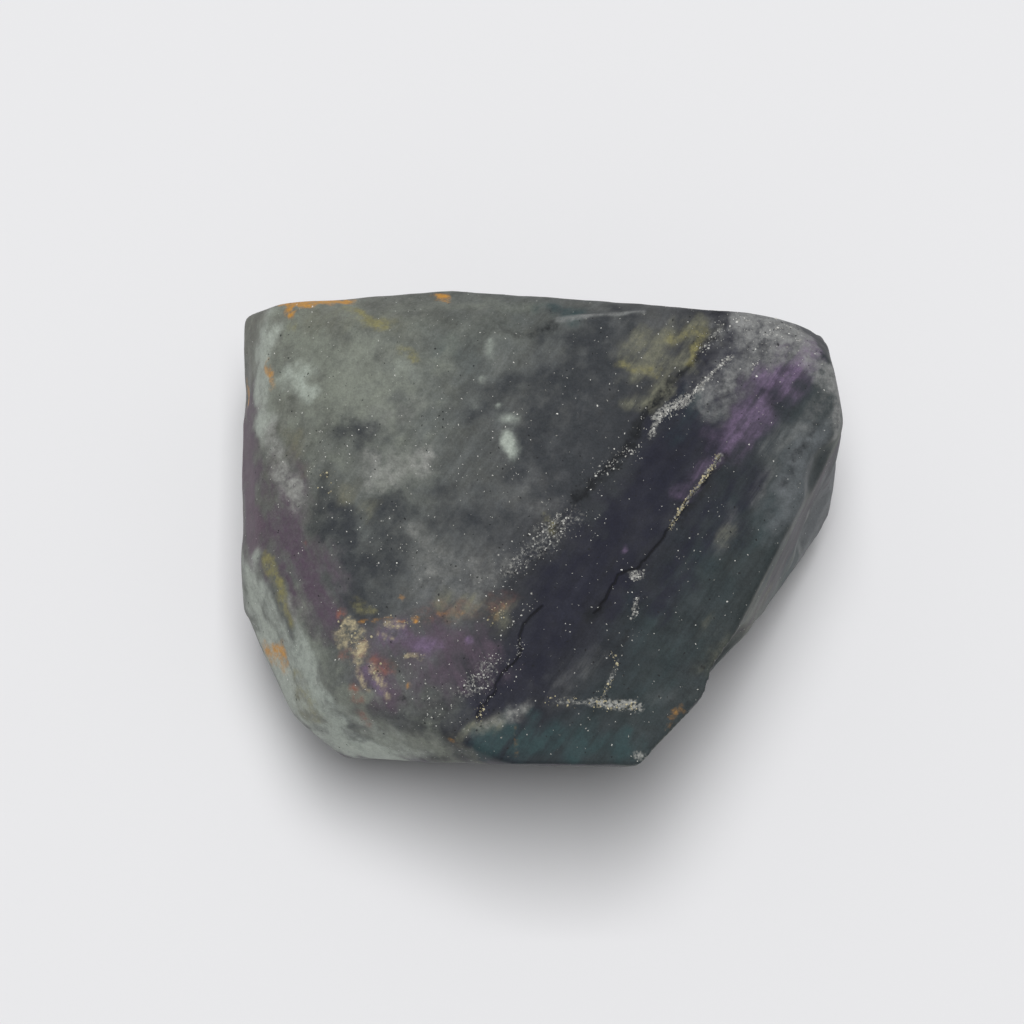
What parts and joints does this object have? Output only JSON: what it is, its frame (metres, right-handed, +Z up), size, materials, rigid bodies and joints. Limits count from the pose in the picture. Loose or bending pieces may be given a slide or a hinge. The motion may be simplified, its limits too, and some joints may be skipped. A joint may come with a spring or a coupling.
{
  "type": "raw fluorite",
  "caption": "Raw fluorite lump with flat cleavage faces, undercut sides, worn edges and colour-banded, translucent grey, green and purple stone.",
  "frame": {"origin": "on the flat resting face, under the middle of the lump's bounding box", "axes": "+Z up from the resting face, +X along the longest side, +Y away from the viewer of the picture"},
  "size_m": [0.0484, 0.0392, 0.0257],
  "materials": {
    "fluorite": "waxy satin, worn, with grey-green, indigo, teal and purple zones and pale grains in its seams"
  },
  "bodies": {
    "root": {"fluorite": "fluorite"}
  },
  "joints": []
}
